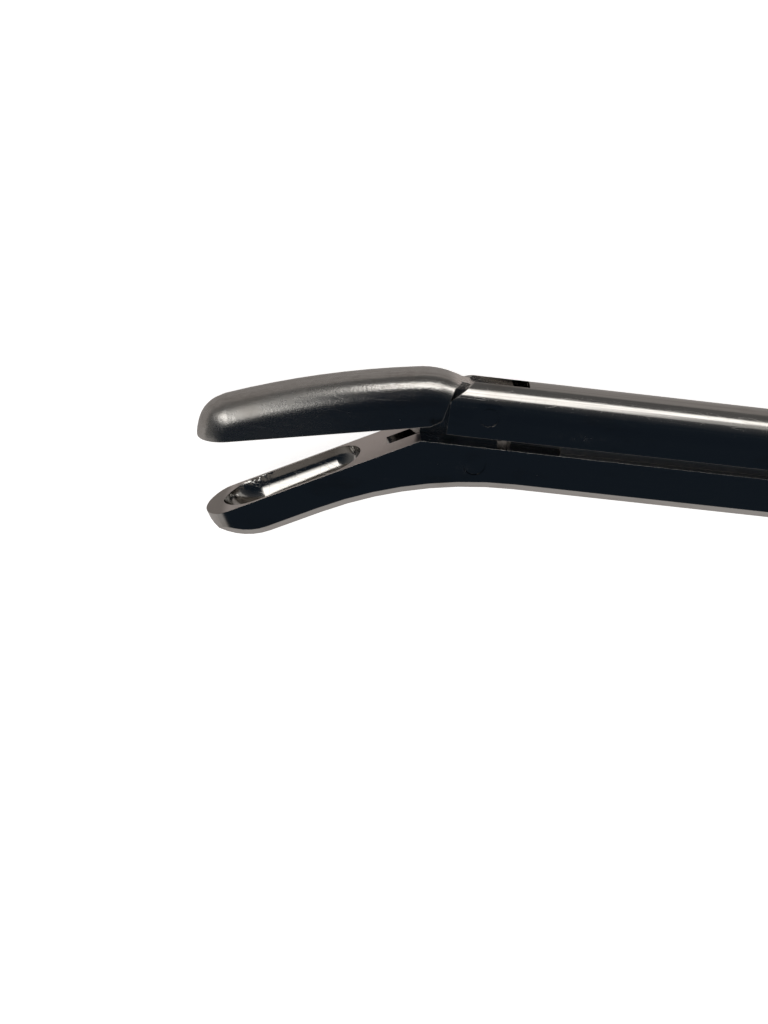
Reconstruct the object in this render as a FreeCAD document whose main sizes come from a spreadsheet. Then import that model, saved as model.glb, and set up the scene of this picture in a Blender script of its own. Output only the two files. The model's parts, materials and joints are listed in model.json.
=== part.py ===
"""A hinged cup-jaw bone rongeur with a sliding upper shaft, lying on its side.

The drawing frame has X along the shaft towards the handles, Y towards the sliding shaft and
Z across the width, with zero on the middle plane. Its origin is the corner where the slanted
rim of the fixed jaw meets the flat top of the lower shaft. At the end every piece is moved
together, so that the footprint's centre is the origin and the lowest side face lies at zero.
"""
import FreeCAD, Part
import math
import os

import Sketcher

DOC = FreeCAD.newDocument("bone_rongeur")
DIMS = DOC.addObject("Spreadsheet::Sheet", "Dims")
VECTOR = FreeCAD.Vector
UP = VECTOR(0, 0, 1)

SIZES = [
    # The two shafts in section.
    ("shaft_width", 4.0),
    ("lower_height", 2.68),
    ("lower_edge", 0.55),
    ("land_width", 3.0),
    ("land_height", 0.55),
    ("rail_neck_width", 1.2),
    ("rail_neck_height", 0.45),
    ("rail_head_width", 2.2),
    ("rail_head_height", 0.6),
    ("slide_height", 3.08),
    # Stations along the shaft, measured from the rim's corner.
    ("slide_front", 1.45),
    ("slide_bevel_length", 1.5),
    ("slide_bevel_height", 1.08),
    ("fore_land_start", 5.5),
    ("fore_land_width", 1.6),
    ("rail_start", 8.5),
    ("rail_end", 168.0),
    ("block_front", 148.0),
    ("handle_pivot_x", 178.0),
    ("lower_rear", 187.0),
    ("slide_rear", 189.2),
    # The fixed jaw.
    ("jaw_angle", 28.3),
    ("jaw_length", 14.1),
    ("jaw_thickness", 2.35),
    ("jaw_nose_radius", 3.8),
    ("jaw_blend_radius", 24.0),
    ("nose_land", 0.25),
    ("tip_bow", 1.25),
    ("tip_corner", 1.2),
    ("cup_radius", 1.84),
    ("cup_rear", 3.85),
    ("cup_front_margin", 1.15),
    ("cup_front_taper", 2.2),
    # The hinged jaw, measured along and up from the rim, in its closed place.
    ("jaw_opening", 16.85),
    ("bite_gap", 0.03),
    ("jaw_back_radius", 54.0),
    ("jaw_back_height", 3.03),
    ("jaw_back_peak", 2.9),
    ("jaw_back_start", 0.6),
    ("jaw_nose_length", 2.0),
    ("jaw_crown_flat", 0.3),
    ("heel_clearance", 0.07),
    ("heel_lip", 0.33),
    ("heel_drop", 0.76),
    ("tang_thickness", 1.1),
    ("tang_radius", 1.05),
    ("tang_reach", 1.85),
    ("tongue_length", 0.7),
    ("tongue_drop", 0.28),
    ("tang_slot_gap", 0.15),
    ("tang_slot_rear", 1.6),
    ("tongue_slot_end", 6.15),
    # Pivots and pins.
    ("jaw_pivot_x", 3.4),
    ("jaw_pivot_depth", 1.15),
    ("jaw_pin_diameter", 1.3),
    ("drive_height", 1.9),
    ("drive_pin_diameter", 1.1),
    ("pivot_depth", 5.2),
    ("pivot_shank", 3.0),
    ("pivot_head", 6.4),
    ("pivot_head_height", 1.4),
    ("pivot_nut", 5.0),
    ("pivot_nut_height", 1.3),
    ("drive_screw_shank", 1.8),
    ("drive_screw_head", 2.5),
    ("drive_screw_head_height", 0.45),
    ("rivet_diameter", 1.6),
    ("rivet_depth", 1.3),
    # The handles.
    ("handle_width", 8.0),
    ("block_slot", 3.5),
    ("blade_slot", 2.0),
    ("blade_eye_radius", 1.55),
    ("block_wall_height", 0.35),
    ("block_floor", 0.8),
    ("block_taper", 14.0),
    ("boss_radius", 5.8),
    ("boss_gap", 0.6),
    ("grip_length", 100.0),
    ("grip_edge", 1.2),
    ("shoulder_radius", 16.0),
    ("shoulder_turn", 8.1),
    ("rear_lean", 4.5),
    ("rear_seat", 29.5),
    ("front_lean", 10.0),
    ("front_seat", 11.0),
    ("grip_end", 4.2),
    # The leaf springs and what holds them.
    ("spring_thickness", 0.9),
    ("spring_width", 5.5),
    ("spring_tip_width", 3.8),
    ("spring_foot_low", 84.0),
    ("spring_foot_high", 70.0),
    ("spring_tip_past", 1.25),
    ("spring_tip_depth", 24.2),
    ("spring_tongue_width", 1.6),
    ("spring_fork_gap", 2.2),
    ("spring_fork_depth", 3.6),
    ("spring_screw_place", 74.5),
    ("spring_screw_depth", 3.6),
    ("spring_screw_shank", 2.5),
    ("spring_screw_head", 4.4),
    ("spring_screw_head_height", 1.4),
    ("spring_peg_place", 80.5),
    ("spring_peg_diameter", 1.4),
    ("spring_peg_depth", 2.5),
    # Fits, all radial or per face.
    ("pin_fit", 0.01),
    ("running_fit", 0.05),
]
for row, (alias, number) in enumerate(SIZES, start=1):
    DIMS.set(f"A{row}", alias.replace("_", " "))
    DIMS.set(f"B{row}", str(number))
    DIMS.setAlias(f"B{row}", alias)
DOC.recompute()


def value(expression):
    """The number that an expression on the sheet's cells gives now."""
    return float(DIMS.evalExpression(str(expression)))


class Sheet:
    """Sheet.name is the text Dims.name, for use in an expression."""

    def __getattr__(self, alias):
        return f"Dims.{alias}"


S = Sheet()
JAW_TURN = f"({S.jaw_angle} * 1 deg)"
HALF_WIDTH = f"({S.shaft_width} / 2)"
SLIDE_FOOT = f"({S.land_height} + {S.running_fit})"
SLIDE_CROWN = f"({SLIDE_FOOT} + {S.slide_height})"
THROUGH = f"({S.handle_width} * 2)"

# Closing takes the jaw through its opening, the slide through its stroke and the handle through
# its squeeze. Both levers stand as far before upright at the end as behind it at rest.
JAW_ARM = f"({S.drive_height} + {S.jaw_pivot_depth})"
STROKE = f"(2 * {JAW_ARM} * tan({S.jaw_opening} * 0.5 deg))"
HANDLE_ARM = f"({S.drive_height} + {S.pivot_depth})"
HALF_SQUEEZE = f"atan({STROKE} / (2 * {HANDLE_ARM}))"
PIVOT_X = S.handle_pivot_x
PIVOT_Y = f"(-{S.pivot_depth})"


def along_jaw(reach, height):
    """The drawing-frame point that lies reach towards the tip and height above the rim."""
    x = f"(-({reach}) * cos({JAW_TURN}) - ({height}) * sin({JAW_TURN}))"
    y = f"(-({reach}) * sin({JAW_TURN}) + ({height}) * cos({JAW_TURN}))"
    return x, y


def plane_of(body, role):
    """One of the body's own origin planes or axes."""
    return next(f for f in body.Origin.OriginFeatures if f.Role == role)


def new_body(label):
    body = DOC.addObject("PartDesign::Body", label)
    body.Label = label
    return body


def sketch_on(body, name, role="XY_Plane", offset=None):
    """A sketch on an origin plane of the body, moved by an optional placement."""
    sketch = body.newObject("Sketcher::SketchObject", name)
    sketch.AttachmentSupport = (plane_of(body, role), [""])
    sketch.MapMode = "FlatFace"
    if offset is not None:
        sketch.AttachmentOffset = offset
    return sketch


def hold_point(sketch, geometry, end, x, y):
    """Holds one point of the sketch at x and y, bound to the sheet's cells."""
    for kind, expression in (("DistanceX", x), ("DistanceY", y)):
        index = sketch.addConstraint(Sketcher.Constraint(kind, geometry, end, value(expression)))
        if "Dims." in str(expression):
            sketch.setExpression(f"Constraints[{index}]", str(expression))


def draw_outline(sketch, corners):
    """A closed outline. A corner is (x, y), or (x, y, via_x, via_y) at the end of an arc."""
    spots = [VECTOR(value(c[0]), value(c[1]), 0) for c in corners]
    ends = []
    for number, corner in enumerate(corners):
        start, end = spots[number - 1], spots[number]
        if len(corner) == 2:
            edge = sketch.addGeometry(Part.LineSegment(start, end), False)
            ends.append((edge, 1, 2))
            continue
        via = VECTOR(value(corner[2]), value(corner[3]), 0)
        edge = sketch.addGeometry(Part.Arc(start, via, end), False)
        forward = sketch.getPoint(edge, 1).distanceToPoint(start) < 1e-6
        ends.append((edge, 1, 2) if forward else (edge, 2, 1))
        mark = sketch.addGeometry(Part.Point(via), True)
        sketch.addConstraint(Sketcher.Constraint("PointOnObject", mark, 1, edge))
        hold_point(sketch, mark, 1, corner[2], corner[3])
    for number, (edge, _, last) in enumerate(ends):
        after, first, _ = ends[(number + 1) % len(ends)]
        sketch.addConstraint(Sketcher.Constraint("Coincident", edge, last, after, first))
        hold_point(sketch, edge, last, corners[number][0], corners[number][1])


def draw_circle(sketch, x, y, diameter):
    centre = VECTOR(value(x), value(y), 0)
    circle = sketch.addGeometry(Part.Circle(centre, UP, value(diameter) / 2), False)
    hold_point(sketch, circle, 3, x, y)
    index = sketch.addConstraint(Sketcher.Constraint("Diameter", circle, value(diameter)))
    sketch.setExpression(f"Constraints[{index}]", str(diameter))


def draw_box(sketch, x_low, y_low, x_high, y_high):
    draw_outline(sketch, [(x_low, y_low), (x_high, y_low), (x_high, y_high), (x_low, y_high)])


def check_change(body, feature, before, grows):
    """Stops the build when a feature did not add or remove material."""
    DOC.recompute()
    after = body.Shape.Volume
    if "Invalid" in feature.State or "Error" in feature.State:
        raise RuntimeError(f"{body.Label}: {feature.Name} failed, {feature.getStatusString()}")
    if (after - before) * (1 if grows else -1) < 1e-4:
        raise RuntimeError(f"{body.Label}: {feature.Name} changed the volume by {after - before}")


def volume_of(body):
    return body.Shape.Volume if body.Tip and not body.Shape.isNull() else 0.0


def extrude(body, name, sketch, length, cuts=False, symmetric=True, reverse=False):
    """Pads or pockets a sketch, about its own plane unless it goes one way."""
    before = volume_of(body)
    feature = body.newObject("PartDesign::Pocket" if cuts else "PartDesign::Pad", name)
    feature.Profile = sketch
    feature.SideType = "Symmetric" if symmetric else "One side"
    feature.Reversed = reverse
    feature.setExpression("Length", str(length))
    sketch.Visibility = False
    check_change(body, feature, before, not cuts)
    return feature


def revolve(body, name, sketch, axis, angle="360", cuts=False):
    """Revolves or grooves a sketch about one of its own axes."""
    before = volume_of(body)
    feature = body.newObject("PartDesign::Groove" if cuts else "PartDesign::Revolution", name)
    feature.Profile = sketch
    feature.ReferenceAxis = (sketch, [axis])
    feature.setExpression("Angle", str(angle))
    check_change(body, feature, before, not cuts)
    return feature


def finish_edges(body, name, kind, size_name, size, chosen):
    """Adds a Fillet or a Chamfer on the edges that the test picks."""
    DOC.recompute()
    base = body.Tip
    edges = [f"Edge{i}" for i, edge in enumerate(base.Shape.Edges, 1) if chosen(edge)]
    if not edges:
        raise RuntimeError(f"{body.Label}: {name} found no edge")
    before = body.Shape.Volume
    feature = body.newObject(f"PartDesign::{kind}", name)
    feature.Base = (base, edges)
    feature.setExpression(size_name, str(size))
    check_change(body, feature, before, False)
    return feature


def round_edges(body, name, radius, chosen):
    """Rounds the edges of the body that the test picks."""
    return finish_edges(body, name, "Fillet", "Radius", radius, chosen)


def break_edges(body, name, size, chosen):
    """Chamfers the edges of the body that the test picks."""
    return finish_edges(body, name, "Chamfer", "Size", size, chosen)


def drill(body, name, x, y, diameter, length=THROUGH):
    """A round hole across the width."""
    sketch = sketch_on(body, f"{name}_sketch")
    draw_circle(sketch, x, y, diameter)
    return extrude(body, name, sketch, length, cuts=True)


def middle_of(edge):
    return edge.valueAt((edge.FirstParameter + edge.LastParameter) / 2)


def turned_pin(label, diameter, length, chamfer="0.1"):
    """A plain round pin along Z, with both ends broken."""
    body = new_body(label)
    sketch = sketch_on(body, f"{label}_half_section", "XZ_Plane")
    half = f"({length}) / 2"
    radius = f"({diameter}) / 2"
    draw_outline(sketch, [
        ("0", f"-({half})"),
        (f"{radius} - {chamfer}", f"-({half})"),
        (radius, f"-({half}) + {chamfer}"),
        (radius, f"{half} - {chamfer}"),
        (f"{radius} - {chamfer}", half),
        ("0", half),
    ])
    revolve(body, f"{label}_turning", sketch, "V_Axis")
    return body


def slotted_screw(label, shank, length, head, head_height, slot_width="0.7"):
    """A screw along Z: the shank runs down from zero, the slotted head stands above it."""
    body = new_body(label)
    sketch = sketch_on(body, f"{label}_half_section", "XZ_Plane")
    bevel = "0.2"
    draw_outline(sketch, [
        ("0", f"-({length})"),
        (f"({shank}) / 2 - {bevel}", f"-({length})"),
        (f"({shank}) / 2", f"-({length}) + {bevel}"),
        (f"({shank}) / 2", "0"),
        (f"({head}) / 2", "0"),
        (f"({head}) / 2", f"({head_height}) - {bevel}"),
        (f"({head}) / 2 - {bevel}", head_height),
        ("0", head_height),
    ])
    revolve(body, f"{label}_turning", sketch, "V_Axis")
    slot = sketch_on(body, f"{label}_slot_sketch", "XZ_Plane")
    draw_box(slot, f"-({slot_width}) / 2", f"({head_height}) / 2", f"({slot_width}) / 2", f"({head_height}) + 1")
    extrude(body, f"{label}_slot", slot, f"({head}) * 2", cuts=True)
    return body


def arc_height(reach):
    """Height of the upper jaw's crown above the rim, reach along the rim."""
    rise = f"sqrt({S.jaw_back_radius}^2 - (({reach}) - {S.jaw_back_peak})^2)"
    return f"({S.jaw_back_height} - {S.jaw_back_radius} + {rise})"


def near_width(edge, half):
    return abs(abs(middle_of(edge).z) - half) < 0.02


def jaw_plane_sketch(body, name):
    """A sketch on the rim's plane: its x runs towards the tip and its y across the width."""
    turn = f"(180 + {S.jaw_angle}) * 1 deg"
    offset = FreeCAD.Placement(VECTOR(0, 0, 0), FreeCAD.Rotation(VECTOR(0, 1, 0), value(f"180 + {S.jaw_angle}")))
    sketch = sketch_on(body, name, "XZ_Plane", offset)
    sketch.setExpression("AttachmentOffset.Rotation.Angle", turn)
    return sketch


def section_sketch(body, name, station):
    """A sketch across the shaft: its x is Y, its y is Z, and it lies at the station."""
    offset = FreeCAD.Placement(VECTOR(0, 0, value(station)), FreeCAD.Rotation())
    sketch = sketch_on(body, name, "YZ_Plane", offset)
    sketch.setExpression("AttachmentOffset.Base.z", f"({station}) * 1 mm")
    return sketch


def round_jaw_tip(body):
    """Cuts the jaw's tip to a half circle as wide as the shaft, seen onto the rim."""
    sketch = jaw_plane_sketch(body, f"{body.Label}_tip_sketch")
    centre = f"({S.jaw_length} - {HALF_WIDTH})"
    beyond = f"({S.jaw_length} + 2)"
    outside = f"({S.shaft_width})"
    draw_outline(sketch, [
        (centre, HALF_WIDTH, S.jaw_length, "0"),
        (centre, outside),
        (beyond, outside),
        (beyond, f"-{outside}"),
        (centre, f"-{outside}"),
        (centre, f"-{HALF_WIDTH}"),
    ])
    extrude(body, f"{body.Label}_tip", sketch, f"{S.jaw_thickness} * 4", cuts=True)


def bow_jaw_tip(body):
    """Cuts the jaw's tip to a flat bow with two rounded corners, seen onto the rim."""
    sketch = jaw_plane_sketch(body, f"{body.Label}_tip_sketch")
    bow_radius = f"(({HALF_WIDTH}^2 + {S.tip_bow}^2) / (2 * {S.tip_bow}))"
    bow_centre = f"({S.jaw_length} - {bow_radius})"
    inset = f"({HALF_WIDTH} - {S.tip_corner})"
    step = f"sqrt(({bow_radius} - {S.tip_corner})^2 - {inset}^2)"
    angle = f"atan2({inset}; {step})"
    corner = f"({bow_centre} + {step})"
    touch = (f"({bow_centre} + {bow_radius} * cos({angle}))", f"({bow_radius} * sin({angle}))")
    middle = f"((90 deg + {angle}) / 2)"
    via = (f"({corner} + {S.tip_corner} * cos({middle}))", f"({inset} + {S.tip_corner} * sin({middle}))")
    beyond = f"({S.jaw_length} + 2)"
    outside = f"({S.shaft_width})"
    draw_outline(sketch, [
        (corner, HALF_WIDTH),
        (*touch, *via),
        (touch[0], f"-{touch[1]}", S.jaw_length, "0"),
        (corner, f"-{HALF_WIDTH}", via[0], f"-{via[1]}"),
        (corner, f"-{outside}"),
        (beyond, f"-{outside}"),
        (beyond, outside),
        (corner, outside),
    ])
    extrude(body, f"{body.Label}_tip", sketch, f"{S.jaw_thickness} * 4", cuts=True)


def hollow_cup(body):
    """Cuts the cup: a trough about the rim's centre line, round behind and drawn out in front."""
    sketch = jaw_plane_sketch(body, f"{body.Label}_cup_sketch")
    front = f"({S.jaw_length} - {S.cup_front_margin})"

    taper = S.cup_front_taper
    front_radius = f"(({taper}^2 + {S.cup_radius}^2) / (2 * {S.cup_radius}))"
    front_via = (f"({front} - {taper} * 0.4)",
                 f"({S.cup_radius} - {front_radius} + sqrt({front_radius}^2 - ({taper} * 0.6)^2))")
    centre = f"({S.cup_rear} + {S.cup_radius})"
    rear_via = (f"({centre} - {S.cup_radius} * cos(45))", f"({S.cup_radius} * sin(45))")
    draw_outline(sketch, [
        (S.cup_rear, "0"),
        (centre, S.cup_radius, *rear_via),
        (f"({front} - {taper})", S.cup_radius),
        (front, "0", *front_via),
    ])
    revolve(body, f"{body.Label}_cup", sketch, "H_Axis", cuts=True)


def build_lower_shaft():
    """The fixed jaw, the lower bar, its guide land and its T rail, forged in one piece."""
    body = new_body("lower_shaft")
    under = f"(-{S.jaw_thickness})"
    nose_centre_height = f"({S.jaw_nose_radius} - {S.jaw_thickness})"
    nose_angle = f"asin(({nose_centre_height} + {S.nose_land}) / {S.jaw_nose_radius})"
    nose_centre = f"({S.jaw_length} - {S.jaw_nose_radius} * cos({nose_angle}))"
    rim_angle = f"asin({nose_centre_height} / {S.jaw_nose_radius})"
    half_nose = f"((90 deg + {rim_angle}) / 2)"
    meeting_reach = f"(({S.lower_height} - {S.jaw_thickness} * cos({JAW_TURN})) / sin({JAW_TURN}))"
    meeting_x = along_jaw(meeting_reach, under)[0]
    blend_length = f"({S.jaw_blend_radius} * tan({JAW_TURN} / 2))"
    blend_x = f"({meeting_x} + {blend_length})"
    blend_via = (
        f"({blend_x} - {S.jaw_blend_radius} * sin({JAW_TURN} / 2))",
        f"(-{S.lower_height} - {S.jaw_blend_radius} * (1 - cos({JAW_TURN} / 2)))",
    )
    nose_via = along_jaw(
        f"({nose_centre} + {S.jaw_nose_radius} * cos({half_nose}))",
        f"({nose_centre_height} - {S.jaw_nose_radius} * sin({half_nose}))",
    )
    profile = sketch_on(body, "lower_profile")
    draw_outline(profile, [
        ("0", "0"),
        along_jaw(f"({nose_centre} + {S.jaw_nose_radius} * cos({rim_angle}))", "0"),
        (*along_jaw(nose_centre, under), *nose_via),
        along_jaw(f"({meeting_reach} + {blend_length})", under),
        (blend_x, f"(-{S.lower_height})", *blend_via),
        (S.lower_rear, f"(-{S.lower_height})"),
        (S.lower_rear, "0"),
    ])
    extrude(body, "lower_bar", profile, S.shaft_width)

    half = value(HALF_WIDTH)
    turn = math.radians(value(S.jaw_angle))

    def is_bottom(edge):
        spot = middle_of(edge)
        below_rim = spot.y * math.cos(turn) - spot.x * math.sin(turn) < -half / 10
        below_bar = spot.y < -half / 10
        ahead_of_end = spot.x < value(S.lower_rear) - half
        return near_width(edge, half) and below_rim and below_bar and ahead_of_end

    break_edges(body, "lower_bottom_edges", S.lower_edge, is_bottom)
    bow_jaw_tip(body)
    hollow_cup(body)
    return body




def cut_tang_slot(body):
    """The slot in the lower bar for the tang: slanted front, round under the pivot, flat floor."""
    sketch = sketch_on(body, "tang_slot_sketch")
    radius = f"({S.tang_radius} + {S.tang_slot_gap})"
    front = f"({S.tang_reach} + 2 * {S.tang_slot_gap})"
    corner = along_jaw(front, "0")
    lip = along_jaw(front, S.nose_land)
    touch, angle = tangent_point(corner, radius, 1)
    bottom_angle = f"(({angle} + 270 deg) / 2)"
    floor = f"(-{S.jaw_pivot_depth} - {radius})"
    rear = f"({S.jaw_pivot_x} + {S.tang_slot_rear})"
    draw_outline(sketch, [
        lip,
        corner,
        touch,
        (S.jaw_pivot_x, floor, *around_pivot(radius, bottom_angle)),
        (rear, floor),
        (rear, S.nose_land),
        ("0", S.nose_land),
    ])
    extrude(body, "tang_slot", sketch, f"{S.tang_thickness} + 2 * {S.running_fit}", cuts=True)


def around_pivot(radius, angle):
    """A point at an angle round the jaw's pivot."""
    x = f"({S.jaw_pivot_x} + {radius} * cos({angle}))"
    y = f"(-{S.jaw_pivot_depth} + {radius} * sin({angle}))"
    return x, y


def tangent_point(outer, radius, side):
    """Where a line from an outer point touches a circle round the jaw's pivot, and its angle."""
    dx = f"({outer[0]} - {S.jaw_pivot_x})"
    dy = f"({outer[1]} + {S.jaw_pivot_depth})"
    sign = "+" if side > 0 else "-"
    angle = f"(atan2({dy}; {dx}) {sign} acos({radius} / sqrt({dx}^2 + {dy}^2)))"
    return around_pivot(radius, angle), angle


def pad_rail(body):
    """The guide land along the bar, and the T rail that holds the slide down on it."""
    land = section_sketch(body, "land_section", S.rail_start)
    draw_box(land, f"(-{S.lower_height} / 2)", f"(-{S.land_width} / 2)", S.land_height, f"({S.land_width} / 2)")
    extrude(body, "guide_land", land, f"{S.lower_rear} - {S.rail_start}", symmetric=False)
    fore = section_sketch(body, "fore_land_section", S.fore_land_start)
    draw_box(fore, f"(-{S.lower_height} / 2)", f"(-{S.fore_land_width} / 2)",
             S.land_height, f"({S.fore_land_width} / 2)")
    extrude(body, "fore_land", fore, f"{S.rail_start} - {S.fore_land_start}", symmetric=False)
    rail = section_sketch(body, "rail_section", S.rail_start)
    neck = f"({S.rail_neck_width} / 2)"
    head = f"({S.rail_head_width} / 2)"
    neck_top = f"({S.land_height} + {S.rail_neck_height})"
    head_top = f"({neck_top} + {S.rail_head_height})"
    draw_outline(rail, [
        ("0", f"-{neck}"),
        (neck_top, f"-{neck}"),
        (neck_top, f"-{head}"),
        (head_top, f"-{head}"),
        (head_top, head),
        (neck_top, head),
        (neck_top, neck),
        ("0", neck),
    ])
    extrude(body, "t_rail", rail, f"{S.rail_end} - {S.rail_start}", symmetric=False)


def finish_lower_shaft(body):
    cut_tang_slot(body)
    drill(body, "jaw_pin_hole", S.jaw_pivot_x, f"(-{S.jaw_pivot_depth})", f"({S.jaw_pin_diameter} + 2 * {S.pin_fit})")
    pad_rail(body)
    window = sketch_on(body, "blade_window_sketch")
    reach = f"(1.5 * {S.blade_slot})"
    draw_box(window, f"({PIVOT_X} - {reach})", f"(-2 * {S.lower_height})", f"({PIVOT_X} + {reach})", f"({S.land_height} * 2)")
    extrude(body, "blade_window", window, S.blade_slot, cuts=True)
    for number, station in enumerate(RIVET_STATIONS, 1):
        drill(body, f"rivet_hole_{number}", station, f"(-{S.rivet_depth})", f"({S.rivet_diameter} + 2 * {S.pin_fit})")
    return body


RIVET_STATIONS = (f"({S.block_front} + 7)", f"({S.lower_rear} - 3)")


def build_upper_shaft():
    """The sliding shaft: round-topped, with a T groove, and slots for the tongue and the blade."""
    body = new_body("upper_shaft")
    section = section_sketch(body, "slide_section", S.slide_front)
    side = f"({SLIDE_CROWN} - {HALF_WIDTH})"
    draw_outline(section, [
        (SLIDE_FOOT, f"-{HALF_WIDTH}"),
        (side, f"-{HALF_WIDTH}"),
        (side, HALF_WIDTH, SLIDE_CROWN, "0"),
        (SLIDE_FOOT, HALF_WIDTH),
    ])
    extrude(body, "slide_bar", section, f"{S.slide_rear} - {S.slide_front}", symmetric=False)

    bevel = sketch_on(body, "front_bevel_sketch")
    bevel_top = f"({S.slide_front} + {S.slide_bevel_length})"
    draw_outline(bevel, [
        (S.slide_front, f"({SLIDE_CROWN} - {S.slide_bevel_height})"),
        (bevel_top, SLIDE_CROWN),
        (bevel_top, f"({SLIDE_CROWN} + 1)"),
        (f"({S.slide_front} - 1)", f"({SLIDE_CROWN} + 1)"),
        (f"({S.slide_front} - 1)", f"({SLIDE_CROWN} - {S.slide_bevel_height})"),
    ])
    extrude(body, "front_bevel", bevel, THROUGH, cuts=True)

    slot = sketch_on(body, "tongue_slot_sketch")
    draw_box(slot, f"({S.slide_front} - 1)", "0", S.tongue_slot_end, f"({SLIDE_CROWN} + 1)")
    extrude(body, "tongue_slot", slot, f"{S.tang_thickness} + 2 * {S.running_fit}", cuts=True)

    start = f"({S.rail_start} - {STROKE} - 6 * {S.running_fit})"
    groove = section_sketch(body, "t_groove_section", start)
    neck = f"({S.rail_neck_width} / 2 + {S.running_fit})"
    head = f"({S.rail_head_width} / 2 + {S.running_fit})"
    under = f"({S.land_height} + {S.rail_neck_height} - {S.running_fit})"
    over = f"({S.land_height} + {S.rail_neck_height} + {S.rail_head_height} + {S.running_fit})"
    draw_outline(groove, [
        ("0", f"-{neck}"),
        (under, f"-{neck}"),
        (under, f"-{head}"),
        (over, f"-{head}"),
        (over, head),
        (under, head),
        (under, neck),
        ("0", neck),
    ])
    extrude(body, "t_groove", groove, f"{S.slide_rear} - {start} + 1", cuts=True, symmetric=False, reverse=True)

    blade = sketch_on(body, "blade_slot_sketch")
    reach = f"(1.5 * {S.blade_eye_radius})"
    draw_box(blade, f"({DRIVE_SCREW_X} - {reach})", "0", f"({DRIVE_SCREW_X} + {reach})", f"({SLIDE_CROWN} + 1)")
    extrude(body, "blade_slot", blade, S.blade_slot, cuts=True)

    drill(body, "drive_pin_hole", DRIVE_PIN_X, S.drive_height, f"({S.drive_pin_diameter} + 2 * {S.pin_fit})")
    drill(body, "drive_screw_hole", DRIVE_SCREW_X, S.drive_height, f"({S.drive_screw_shank} + 2 * {S.pin_fit})")
    seat_head(body, "drive_screw_seat", DRIVE_SCREW_X, S.drive_height, S.drive_screw_head, HALF_WIDTH, S.drive_screw_head_height)
    return body


DRIVE_PIN_X = f"({S.jaw_pivot_x} + {STROKE} / 2)"
DRIVE_SCREW_X = f"({PIVOT_X} + {STROKE} / 2)"


def seat_head(body, name, x, y, head, face, height, below=False):
    """A flat-bottomed seat that takes a head flush with a side face."""
    depth = f"({height} + 2 * {S.running_fit})"
    level = f"({face} - {depth})"
    turn = FreeCAD.Rotation(VECTOR(1, 0, 0), 180) if below else FreeCAD.Rotation()
    sign = "-" if below else ""
    sketch = sketch_on(body, f"{name}_sketch", offset=FreeCAD.Placement(VECTOR(0, 0, value(f"{sign}{level}")), turn))
    sketch.setExpression("AttachmentOffset.Base.z", f"{sign}{level} * 1 mm")
    draw_circle(sketch, x, f"(-({y}))" if below else y, f"({head} + 2 * {S.running_fit})")
    extrude(body, name, sketch, f"{depth} + 1", cuts=True, symmetric=False, reverse=True)


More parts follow.
